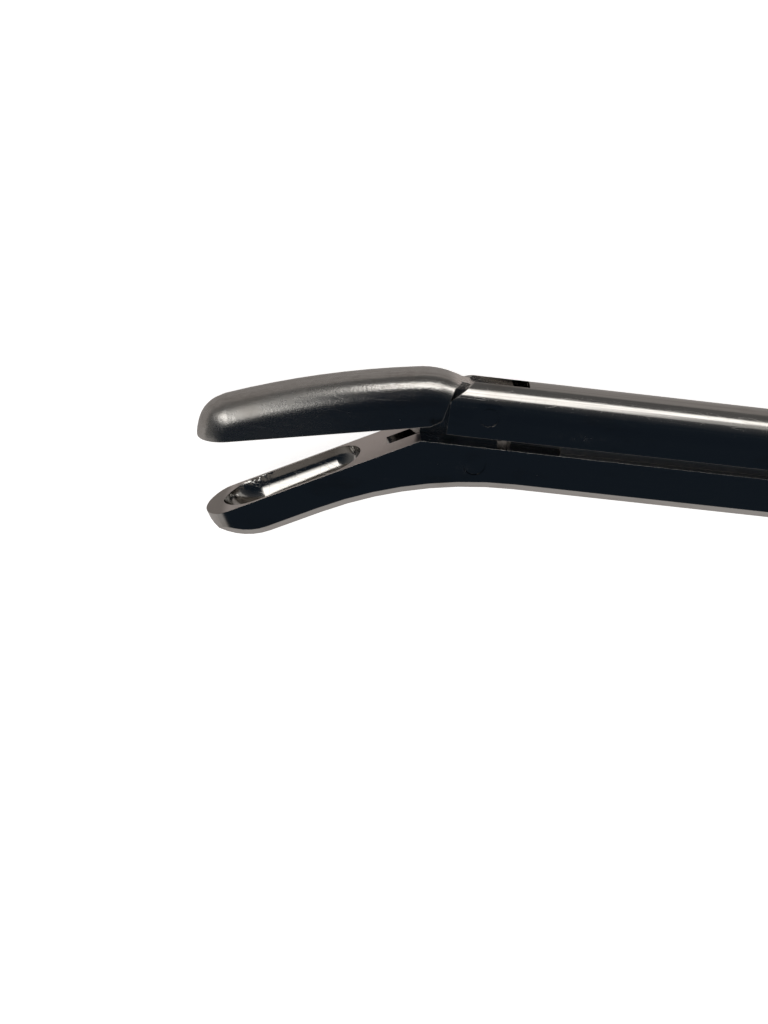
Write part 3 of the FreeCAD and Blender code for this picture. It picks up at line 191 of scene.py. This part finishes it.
def parts_of(board, vector):
    """The x, y and z of a vector. On a jaw or a bar they run along, up and across it."""
    split = board.node("ShaderNodeSeparateXYZ", {}, {"Vector": vector}, "X")
    outputs = split.socket.node.outputs
    return [Wire(board, outputs[i]) for i in range(3)]


# %% [markdown]
# ## The marks that steel carries
#
# Four kinds of mark make up all the finishes: soft clouds, hairline scratches, round specks, and
# single smudges at a chosen place. A hairline is the level line of a soft noise, which wanders
# as a real scratch does. A speck is the middle of a Voronoi cell, in some of the cells only.

# %% Marks
def cloud(board, where, scale, detail, roughness=0.5):
    """Soft noise, about 0.5 on average, with lumps about 1/scale apart."""
    return board.node("ShaderNodeTexNoise", {"noise_dimensions": "3D"},
                      {"Vector": where, "Scale": scale, "Detail": detail, "Roughness": roughness})


def hairline(board, where, scale, width):
    """1 along thin wandering lines, 0 elsewhere."""
    return 1 - abs(cloud(board, where, scale, 1.0) - 0.5).rising(0, width)


def specks(board, where, scale, radius, share):
    """Round spots of a radius in cells 1/scale wide, in a share of the cells only."""
    sockets = {"Vector": where, "Scale": scale}
    spot = board.node("ShaderNodeTexVoronoi", {}, sockets, "Distance")
    pick = board.node("ShaderNodeTexVoronoi", {}, sockets, "Color")
    chance = board.node("ShaderNodeSeparateColor", {}, {"Color": pick}, "Red")
    return (1 - spot.rising(radius * 0.5, radius)) * (1 - chance.rising(share, share + 0.01))


def smudge(board, where, centre, reach):
    """One soft spot: 1 at its centre, 0 at its reach along x, y and z."""
    offset = vector_maths(board, "SUBTRACT", where, centre)
    away = vector_maths(board, "DIVIDE", offset, reach)
    return 1 - vector_maths(board, "LENGTH", away, out="Value").rising(0.2, 1.0)


# %% [markdown]
# ## From marks to metal
#
# All finishes end the same way. A Bevel node rounds the light over each sharp edge by a few
# hundredths of a millimetre, as the polishing mop does, where a modelled bevel would multiply
# the triangles. A Bump node adds the fine relief. In a few places the surface leans another way
# than its mesh says. Pins that are ground flush don't show on the real instrument, so round
# them the light falls on one even flat. And a worn lip is bent towards the light.

# %% Bare metal
def bare_metal(material, board, tint, rough, height, depth, edge, leans=()):
    """Closes a finish: broken edges of a radius, relief of a depth, both in millimetres."""
    normal = board.node("ShaderNodeBevel", {"samples": 6}, {"Radius": edge * MM})
    for share, direction in leans:
        normal = board.lean(share, normal, direction)
    relief = board.node("ShaderNodeBump", {}, {"Height": height, "Distance": depth * MM,
                                               "Strength": 1.0, "Normal": normal})
    shader = board.node("ShaderNodeBsdfPrincipled", {}, {"Base Color": tint, "Roughness": rough,
                                                         "Metallic": 1.0, "Normal": relief})
    board.node("ShaderNodeOutputMaterial", {}, {"Surface": shader})
    return material


# %% [markdown]
# ## Where the jaws and pins are
#
# The frame gives the jaw's pivot and how far it opens. From these follow the corner where the
# bars end, which is the zero of every ruler here, and the line along which each jaw runs.

# %% Sizes of the jaws, in the frame
joints = {joint["name"]: joint for joint in frame["record"]["behaviour"]["joints"]}
JAW_PIVOT = Vector(joints["jaw_close"]["pos_m"])
JAW_OPENING = math.radians(joints["jaw_close"]["range_deg"][1])
CORNER_FROM_PIVOT = Vector((-3.4, 1.15, 0)) * MM
SHAFT_CORNER = JAW_PIVOT + CORNER_FROM_PIVOT
JAW_ANGLE = math.radians(28.3)
CUP_START, CUP_END, CUP_RADIUS = 3.85, 12.95, 1.84

upper_corner = JAW_PIVOT + Matrix.Rotation(-JAW_OPENING, 3, "Z") @ (SHAFT_CORNER - JAW_PIVOT)
lower_jaw_line = math.pi + JAW_ANGLE
upper_jaw_line = lower_jaw_line - JAW_OPENING


def middle(name):
    low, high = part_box(name)
    return (low + high) / 2


pin_places = [(middle(pin) - SHAFT_CORNER) / MM for pin in ("jaw_pivot_pin", "jaw_drive_pin")]
print("upper jaw's corner, mm:", [round(x / MM, 3) for x in upper_corner])
print("pins on the bars, mm:", [[round(x, 2) for x in place] for place in pin_places])


# %% Where the cup, the rim and the guide land are
def inside_cup(board, jaw):
    """1 on the wall of the hollow: nearer to the cup's axis than the cup's radius."""
    along, up, across = parts_of(board, jaw)
    nearest = board.node("ShaderNodeClamp", {}, {"Value": along, "Min": CUP_START + CUP_RADIUS,
                                                 "Max": CUP_END - CUP_RADIUS})
    run = along - nearest
    away = (run * run + up * up + across * across).root()
    return (1 - away.rising(CUP_RADIUS + 0.02, CUP_RADIUS + 0.10)) * (1 - up.rising(-0.03, -0.01))


def on_rim(board, jaw):
    """1 on the flat rim, which lies in the plane where the jaw's own y is 0."""
    along, up = parts_of(board, jaw)[:2]
    return (1 - abs(up).rising(0.004, 0.02)) * along.rising(-0.1, 0.05)


def on_land(board, bar):
    """1 on the sides of the narrow land between the two bars."""
    up, across = parts_of(board, bar)[1:]
    return up.rising(-0.01, 0.02) * (1 - abs(across).rising(1.6, 1.8))


# %% [markdown]
# ## Ground and polished bars
#
# The two bars are ground flat on a fine wheel and then buffed, so the flats mirror the room
# almost cleanly. The rounded back was polished along the bar and keeps faint streaks that way;
# its colour is also darkened in those streaks, which is painted shade.
# Use leaves hairline scratches, smears from gloves and a few pits. The hinged jaw is a rougher
# forging: its skin is dull and mottled all over. The cups are milled and never buffed.
#
# So each finish is a recipe of the same few steps. A step adds to the skin's roughness and
# relief and tints it where the step left its mark. First come the noises and the tints that the
# steps share, by name.

# %% Noises, tints and marks
# Each noise: the stretch of its ruler along, up and across, then scale, detail and roughness.
NOISES = {"streaks": ((0.05, 5.0, 5.0), 1.5, 3.0, 0.7),
          "grain": ((0.22, 7.0, 7.0), 1.6, 3.0, 0.6),
          "smear": ((0.5, 0.9, 0.9), 0.55, 3.0, 0.6),
          "mottle": ((1, 1, 1), 2.6, 4.0, 0.7),
          "grit": ((1, 1, 1), 7.0, 2.0, 0.7),
          "wheel": ((5.0, 1.0, 0.35), 2.2, 2.0, 0.6),
          "milling": ((0.7, 1.6, 1.6), 1.9, 4.0, 0.65)}

TINTS = {"polished": (0.50, 0.488, 0.470), "smeared": (0.42, 0.40, 0.375),
         "streaks and painted shade": (0.36, 0.34, 0.325), "pitted": (0.05, 0.045, 0.04),
         "mottled": (0.37, 0.35, 0.33), "land": (0.36, 0.355, 0.35),
         "rim with painted highlight at the bend": (0.66, 0.60, 0.575), "rim": (0.56, 0.515, 0.49),
         "rim with painted shade at the tip": (0.27, 0.245, 0.225), "cup": (0.62, 0.595, 0.55),
         "stained heel": (0.20, 0.15, 0.11), "tongue with painted highlight": (0.86, 0.81, 0.77)}

# Marks on the sides of the bars, each with its centre and its reach in millimetres.
FINGERMARKS = (((2.8, -1.5, 0), (1.0, 0.55, 9)),     # a print below the pivot
               ((-1.7, -2.7, 0), (0.7, 0.12, 9)),    # a scuff under the bend
               ((7.24, -1.38, 0), (0.10, 0.08, 9)),  # two nicks behind the print
               ((7.63, -1.17, 0), (0.07, 0.06, 9)),
               ((9.5, 1.3, 0), (3.0, 0.5, 9)))       # a long wipe on the slide


def noise(board, where, name):
    stretch, *texture = NOISES[name]
    return cloud(board, stretched(board, where, stretch), *texture)


# %% A skin in the making
# In millimetres: the relief, the reach of a pin's even flat, and where the side flats begin.
RELIEF_DEPTH = 0.0022
PIN_REACH = (1.1, 1.1, 1)
SIDE_FLATS = (1.7, 1.8)


class Skin:
    """Steel that is worked step by step: it keeps its tint, roughness, relief and leans.

    A seed moves the pattern, so that no two skins are alike.
    """

    def __init__(self, name, seed=0.0):
        self.material, self.board = new_finish(name)
        self.bar = ruler(self.board, tuple(SHAFT_CORNER))
        self.own = vector_maths(self.board, "ADD", self.bar, (seed, seed * 0.7, 0))
        self.mottle = noise(self.board, self.own, "mottle")
        self.leans = []

    def tinted(self, share, colour):
        self.tint = self.board.blend(share, self.tint, colour)

    def close(self, edge):
        """Makes the light even round the flush pins, and gives the finished material."""
        board = self.board
        across = parts_of(board, self.bar)[2]
        side_view = stretched(board, self.bar, (1, 1, 0))
        pins = total(smudge(board, side_view, (place.x, place.y, 0), PIN_REACH).rising(0.02, 0.05)
                     for place in pin_places)
        flat = board.node("ShaderNodeCombineXYZ", {},
                          {"X": 0, "Y": 0, "Z": across.maths("SIGN", across)})
        self.leans.append((pins * abs(across).rising(*SIDE_FLATS), flat))
        return bare_metal(self.material, board, self.tint, self.rough, self.height,
                          RELIEF_DEPTH, edge, self.leans)


# %% Steps that every bar and jaw goes through
FACING_UP = (0.60, 0.74)  # the y of the surface's direction, from the flats to the rounded back


def polish(skin, crossed=True):
    """Buffed steel, with smears, hairlines, pits and streaks, and painted shade in the streaks on
    the rounded back. Crossed adds steep hairlines.
    """
    board, own = skin.board, skin.own
    back = parts_of(board, board.node("ShaderNodeTexCoord", out="Normal"))[1].rising(*FACING_UP)
    streaks, grain = noise(board, own, "streaks"), noise(board, own, "grain")
    smear = noise(board, own, "smear").rising(0.50, 0.74)
    lines = hairline(board, stretched(board, own, (0.35, 2.4, 2.4)), 0.8, 0.005)
    if crossed:
        lines = lines + hairline(board, stretched(board, own, (1.9, 0.35, 0.8)), 0.7, 0.003)
    pits = specks(board, own, 0.9, 0.045, 0.32)
    marks = total(smudge(board, skin.bar, centre, reach) for centre, reach in FINGERMARKS)
    marks = marks * skin.mottle.rising(0.40, 0.62)

    skin.rough = (0.10 + smear * 0.05 + lines * 0.06 + pits * 0.3 + (grain - 0.5) * 0.08
                  + marks * 0.16 + back * (0.03 + (streaks - 0.5) * 0.16))
    skin.height = grain * 0.5 - lines * 0.35 - pits * 3.0 + back * streaks * 0.8
    skin.tint = board.blend(smear, TINTS["polished"], TINTS["smeared"])
    # The rounded back is darker in its streaks: partly real polishing streaks, partly painted
    # shade.
    skin.tinted(back * streaks.rising(0.42, 0.68) * 0.6, TINTS["streaks and painted shade"])
    skin.tinted(pits, TINTS["pitted"])


def mill(skin, jaw):
    """The cup, which is milled and pocked, and the rim, which is ground across, lighter at the
    bend as a painted highlight and darker at the tip as painted shade.
    """
    board = skin.board
    along = parts_of(board, jaw)[0]
    cup, rim = inside_cup(board, jaw), on_rim(board, jaw)
    wheel, milling = noise(board, jaw, "wheel"), noise(board, jaw, "milling")
    pocks = specks(board, jaw, 3.2, 0.26, 0.5) * cup
    worn_front = along.rising(8.5, 10.5)

    skin.rough = skin.rough + rim * (0.20 + (wheel - 0.5) * 0.1)
    skin.rough = skin.rough + cup * (0.15 + (milling - 0.5) * 0.24 + worn_front * 0.12)
    skin.height = skin.height + rim * wheel * 2.0 + cup * milling * 12.0 - pocks * 4.0
    # Along the rim the colour is lighter at the bend, a painted highlight, and darker at the tip,
    # painted shade.
    rim_tint = board.blend(along.rising(3.0, 6.0), TINTS["rim with painted highlight at the bend"], TINTS["rim"])
    rim_tint = board.blend(along.rising(12.3, 13.1), rim_tint, TINTS["rim with painted shade at the tip"])
    skin.tinted(rim, rim_tint)
    skin.tinted(cup, TINTS["cup"])


# %% Steps for one jaw only
LIP_PLACE, LIP_REACH = (11.3, -0.3, -1.75), (2.3, 1.0, 0.75)
LIP_LEAN = (-0.305, 0.566, 0.766)
HEEL_PLACE, HEEL_REACH = (-0.4, -0.34, 0), (0.8, 0.35, 9)


def wear_lower(skin, jaw):
    """The far lip of the cup is worn round, and the guide land is left as ground."""
    lip = smudge(skin.board, jaw, LIP_PLACE, LIP_REACH) * skin.mottle.rising(0.42, 0.56)
    skin.leans.append((lip, LIP_LEAN))
    land = on_land(skin.board, skin.bar)
    skin.rough = skin.rough + land * 0.28
    skin.tinted(land, TINTS["land"])


def forge_upper(skin):
    """A dull skin, mottled and gritty all over."""
    grit = noise(skin.board, skin.own, "grit")
    skin.rough = skin.rough + (0.17 + (skin.mottle - 0.5) * 0.12)
    skin.height = skin.height + (skin.mottle * 2.4 + grit * 2.6)
    skin.tinted(skin.mottle.rising(0.45, 0.75) * 0.5, TINTS["mottled"])


def wear_upper(skin, jaw):
    """The heel is stained, the tongue behind it is painted bright as a highlight, and the hinge
    end is the smoothest.
    """
    along = parts_of(skin.board, jaw)[0]
    heel = smudge(skin.board, jaw, HEEL_PLACE, HEEL_REACH) * skin.mottle.rising(0.35, 0.6)
    tongue = 1 - along.rising(-2.0, -1.2)
    hinge_end = 1 - along.rising(1.0, 9.0)
    skin.tinted(heel * 0.8, TINTS["stained heel"])
    # The tongue's colour is far lighter than steel: a painted highlight.
    skin.tinted(tongue, TINTS["tongue with painted highlight"])
    skin.rough = skin.rough + tongue * 0.08 - hinge_end * 0.12


# %% The recipes, one for each kind of bar
def lower_bar():
    skin = Skin("lower_bar_polish")
    jaw = ruler(skin.board, tuple(SHAFT_CORNER), lower_jaw_line)
    polish(skin)
    mill(skin, jaw)
    wear_lower(skin, jaw)
    return skin.close(edge=0.045)


def slide():
    skin = Skin("slide_polish", seed=31.0)
    polish(skin)
    return skin.close(edge=0.02)


def hinged_jaw():
    skin = Skin("hinged_jaw_skin", seed=7.0)
    jaw = ruler(skin.board, tuple(upper_corner), upper_jaw_line)
    polish(skin, crossed=False)
    forge_upper(skin)
    mill(skin, jaw)
    wear_upper(skin, jaw)
    return skin.close(edge=0.05)


# %% [markdown]
# ## Satin handles, turned screws and rolled springs
#
# The handles are blasted with fine glass beads, so that they don't dazzle under the theatre
# lamp, and hands have polished their edges again. Screws are turned: their heads carry rings
# about their own centre. The leaf springs are rolled strip with lines along their length.

# %% Satin steel
def satin_steel(name):
    material, board = new_finish(name)
    where = ruler(board)
    beads = cloud(board, where, 7.0, 2.0, 0.7)
    handling = cloud(board, where, 0.07, 3.0, 0.6).rising(0.42, 0.68)
    smear = cloud(board, stretched(board, where, (1.0, 0.6, 1.0)), 0.35, 3.0, 0.55)
    smear = smear.rising(0.5, 0.75)
    lines = hairline(board, stretched(board, where, (0.5, 1.8, 1.8)), 0.5, 0.003)
    rough = 0.34 - handling * 0.07 + smear * 0.06 - lines * 0.06 + (beads - 0.5) * 0.08
    tint = board.blend(smear * 0.7, (0.56, 0.552, 0.54), (0.47, 0.46, 0.445))
    return bare_metal(material, board, tint, rough, beads - lines * 0.6, depth=0.006, edge=0.25)


# %% Turned and rolled steel
RING_SPACING = 0.12


def turned_steel(name, centre):
    """Rings about a centre line that runs along z."""
    material, board = new_finish(name)
    where = ruler(board, tuple(centre))
    x, y = parts_of(board, where)[:2]
    radius = (x * x + y * y).root()
    rings = radius.maths("SINE", radius * (2 * math.pi / RING_SPACING))
    worn = cloud(board, where, 0.8, 3.0, 0.6).rising(0.45, 0.7)
    tint = board.blend(worn, (0.58, 0.572, 0.56), (0.48, 0.47, 0.45))
    rough = 0.20 + worn * 0.10
    return bare_metal(material, board, tint, rough, rings * 0.5, depth=0.0012, edge=0.08)


def rolled_steel(name):
    """Lines along the strip, and the faint straw colour of tempering."""
    material, board = new_finish(name)
    where = ruler(board)
    streaks = cloud(board, stretched(board, where, (0.6, 0.25, 9.0)), 1.2, 3.0, 0.6)
    heat = cloud(board, where, 0.12, 2.0, 0.5).rising(0.35, 0.7)
    tint = board.blend(heat, (0.47, 0.46, 0.45), (0.40, 0.385, 0.36))
    rough = 0.24 + (streaks - 0.5) * 0.12
    return bare_metal(material, board, tint, rough, streaks, depth=0.004, edge=0.08)


# %% Give each piece its finish
def dress(names, material):
    for name in names:
        slots = steelwork[name].data.materials
        slots.clear()
        slots.append(material)


dress(["lower_shaft", "jaw_pivot_pin"], lower_bar())
dress(["upper_shaft", "jaw_drive_pin"], slide())
dress(["upper_jaw"], hinged_jaw())
dress(["rear_handle", "front_handle", "shaft_rivets"], satin_steel("bead_blasted"))
for name in steelwork:
    if name.endswith(("screw", "nut", "peg")):
        dress([name], turned_steel("turned_" + name, middle(name)))
print("finishes:", sorted(material.name for material in bpy.data.materials))

# %% [markdown]
# ## Leaf springs cut into short lengths
#
# Each leaf is screwed to one handle and slides on the other leaf at its tip. A copy of the leaf
# is merged into one skin and cut into short lengths, so that it can bend.

# %% A copy of a leaf in short lengths
LEAF_CUTS = 40
MERGE_WITHIN = 0.002 * MM
CUT_WITHIN = 0.001 * MM


def bending_leaf(node, foot, tip):
    mesh = steelwork[node].data.copy()
    mesh.name = node + "_leaf"
    skin = bmesh.new()
    skin.from_mesh(mesh)
    bmesh.ops.remove_doubles(skin, verts=skin.verts, dist=MERGE_WITHIN)
    run = tip - foot
    for i in range(1, LEAF_CUTS):
        geometry = skin.verts[:] + skin.edges[:] + skin.faces[:]
        bmesh.ops.bisect_plane(skin, geom=geometry, dist=CUT_WITHIN,
                               plane_co=foot + run * (i / LEAF_CUTS), plane_no=run)
    skin.to_mesh(mesh)
    skin.free()
    leaf = bpy.data.objects.new(node + "_leaf", mesh)
    scene.collection.objects.link(leaf)
    for polygon in mesh.polygons:
        polygon.use_smooth = True
    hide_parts(node)
    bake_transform(leaf)
    print(node, "bends with", len(mesh.vertices), "points")
    return leaf


# %% Hang both leaves
FOOT_LENGTH = 14.0 * MM
MIDDLE_PLANE = 4 * MM
EDGE_BREAK = 0.12 * MM
SHARP_EDGE = math.radians(50)

rear_low, rear_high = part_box("rear_spring")
front_low, front_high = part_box("front_spring")
foot = Vector((0, max(rear_low.y, front_low.y) + FOOT_LENGTH, MIDDLE_PLANE))
meeting = Vector((0, min(rear_high.y, front_high.y), MIDDLE_PLANE))
print("leaves bend from y", round(foot.y / MM, 2), "to", round(meeting.y / MM, 2), "mm")

rear_leaf = bending_leaf("rear_spring", foot, meeting)
front_leaf = bending_leaf("front_spring", foot, meeting)
rolled = rolled_steel("rolled_strip")
for leaf in (rear_leaf, front_leaf):
    leaf.data.materials.clear()
    leaf.data.materials.append(rolled)
    edges = leaf.modifiers.new("broken_edges", "BEVEL")
    edges.width, edges.segments = EDGE_BREAK, 2
    edges.limit_method, edges.angle_limit = "ANGLE", SHARP_EDGE
    edges.harden_normals = True

# %% [markdown]
# ## The table
#
# Steel has hardly any colour of its own, so what lies round it decides how it looks. The table
# is a pale sheet. To the eye it is white: the Light Path node adds that glow for the camera
# only, so no extra light is needed. In the steel it shows as it would in a shaded room: warm
# grey close behind the bars, darker from about a centimetre on, and lighter in front of them.

# %% The sheet
TABLE_RADIUS = 4.0
TABLE_TOP = -0.05 * MM

table_mesh = bpy.data.meshes.new("table_top")
sheet = bmesh.new()
bmesh.ops.create_circle(sheet, cap_ends=True, segments=64, radius=TABLE_RADIUS)
sheet.to_mesh(table_mesh)
sheet.free()
table_top = bpy.data.objects.new("table_top", table_mesh)
scene.collection.objects.link(table_top)
table_top.location.z = TABLE_TOP

# %% White to the eye, grey in the steel
PAPER = (0.80, 0.765, 0.745, 1)
PAPER_GLOW = 0.80
CLOSE_TONE, BEHIND_TONE = (0.345, 0.322, 0.308), (0.135, 0.132, 0.130)
FRONT_TONE = (0.46, 0.435, 0.42)
BEHIND, IN_FRONT = (10.5, 13.0), (-8.0, -1.0)

pale, board = new_finish("pale_table")
paths = board.node("ShaderNodeLightPath", out="Is Camera Ray")
eye, mirror, glass = (Wire(board, paths.socket.node.outputs[name])
                      for name in ("Is Camera Ray", "Is Glossy Ray", "Is Transmission Ray"))
lit = board.node("ShaderNodeBsdfDiffuse", {}, {"Color": PAPER})
glow = board.node("ShaderNodeEmission", {},
                  {"Color": (1, 1, 1, 1), "Strength": (eye + glass) * PAPER_GLOW})
to_the_eye = board.node("ShaderNodeAddShader", {}, {0: lit, 1: glow})
# Seen in the steel, the sheet glows with painted tones instead of being lit: painted shade from
# about a centimetre behind the bars on, and painted light in front of them.
depth = parts_of(board, ruler(board, tuple(SHAFT_CORNER)))[1]
tone = board.blend(depth.rising(*BEHIND), CLOSE_TONE, BEHIND_TONE)
tone = board.blend(1 - depth.rising(*IN_FRONT), tone, FRONT_TONE)
in_steel = board.node("ShaderNodeEmission", {}, {"Color": tone, "Strength": 1.0})
whole = board.node("ShaderNodeMixShader", {}, {0: mirror, 1: to_the_eye, 2: in_steel})
board.node("ShaderNodeOutputMaterial", {}, {"Surface": whole})
table_top.data.materials.append(pale)

# %% [markdown]
# ## The room
#
# The photograph was taken under a dark ceiling, with a low wide window behind the instrument and
# a tall one beyond its tip. The flats mirror the ceiling and go nearly black. The rounded backs
# mirror the low window as one bright band. Above it, its upper panes go on to the left and a
# curtain hangs to the right. The tall window lights the cup. Windows and walls are painted on
# the world by direction: a compass bearing, 0 straight behind the bars and positive towards the
# handles, and a height above the horizon. To the eye the air is white.

# %% Walls, by the height of the direction
WALL_TONES = ((0.0, (0.14, 0.138, 0.135)), (0.34, (0.12, 0.12, 0.12)), (0.60, (0.05, 0.054, 0.06)),
              (0.82, (0.012, 0.018, 0.026)), (1.0, (0.010, 0.015, 0.023)))
FRONT_WALL_TONE = (0.40, 0.385, 0.375)

world = bpy.data.worlds.new("room")
scene.world = world
world.use_nodes = True
board = Board(world.node_tree)
east, north, height = parts_of(board, board.node("ShaderNodeTexCoord", out="Generated"))
front_wall = (1 - north.rising(-0.75, -0.2)) * (1 - height.rising(0.45, 0.75))
room = board.blend(front_wall, board.ramp(height, WALL_TONES), FRONT_WALL_TONE)

# %% Windows, by bearing and rise in degrees, each with how soft its edges are
DAYLIGHT, CURTAIN = (2.3, 2.26, 2.19), (0.50, 0.49, 0.475)

bearing = east.maths("ARCTAN2", east, north) * math.degrees(1)
rise = height.maths("ARCSINE", height) * math.degrees(1)
low_window = bearing.band(-14, 62, soft=5) * rise.band(4, 17, soft=1.5)
upper_panes = bearing.band(-13, 14, soft=4) * rise.band(17, 29, soft=2)
curtain = bearing.band(14, 62, soft=4) * rise.band(17, 30, soft=1.5)
tall_window = bearing.band(-57, -33, soft=5) * rise.band(17, 60, soft=7)
room = board.blend(curtain, room, CURTAIN)
room = board.blend(low_window + upper_panes + tall_window, room, DAYLIGHT)

# %% Air that is white to the eye
eye = board.node("ShaderNodeLightPath", out="Is Camera Ray")
sky = board.node("ShaderNodeBackground", {},
                 {"Color": board.blend(eye, room, (1, 1, 1)), "Strength": 1.0})
board.node("ShaderNodeOutputWorld", {}, {"Surface": sky})

# %% [markdown]
# ## A soft light for the table
#
# One large soft lamp hangs overhead. It is hidden from reflections, so that the ceiling stays
# dark in the steel, and it only keeps the table evenly lit.

# %% Lamp
LAMP_SIDE, LAMP_HEIGHT, LAMP_RADIANCE = 1.6, 1.5, 1.0

lamp_light = bpy.data.lights.new("overhead", "AREA")
lamp_light.shape = "SQUARE"
lamp_light.size = LAMP_SIDE
lamp_light.energy = LAMP_RADIANCE * math.pi * LAMP_SIDE ** 2
overhead = bpy.data.objects.new("overhead", lamp_light)
scene.collection.objects.link(overhead)
overhead.location.z = LAMP_HEIGHT
overhead.visible_glossy = False
overhead.visible_camera = False
print("overhead lamp, watts:", round(lamp_light.energy, 1))

# %% [markdown]
# ## The camera
#
# The photograph looks down at the jaws, leaning over from the low window's side, from about nine
# centimetres away. It is turned so that the bar leaves the picture on the right. The place and
# the directions of the camera were found by matching the outline of the jaws.

# %% Camera
EYE_FROM_PIVOT = Vector((-10.853, 33.330, 83.756)) * MM
LENS, CLIP_START = 52.1, 0.002

right = Vector((0.992143, 0.124223, 0.014847)).normalized()
back = Vector((-0.065158, 0.411765, 0.908958)).normalized()
up = back.cross(right).normalized()
right = up.cross(back)
camera = bpy.data.objects.new("camera", bpy.data.cameras.new("camera"))
scene.collection.objects.link(camera)
turned = Matrix((right, up, back)).transposed().to_4x4()
camera.matrix_world = Matrix.Translation(JAW_PIVOT + EYE_FROM_PIVOT) @ turned
camera.data.lens = LENS
camera.data.clip_start = CLIP_START
scene.camera = camera

scene.view_settings.view_transform = "Standard"
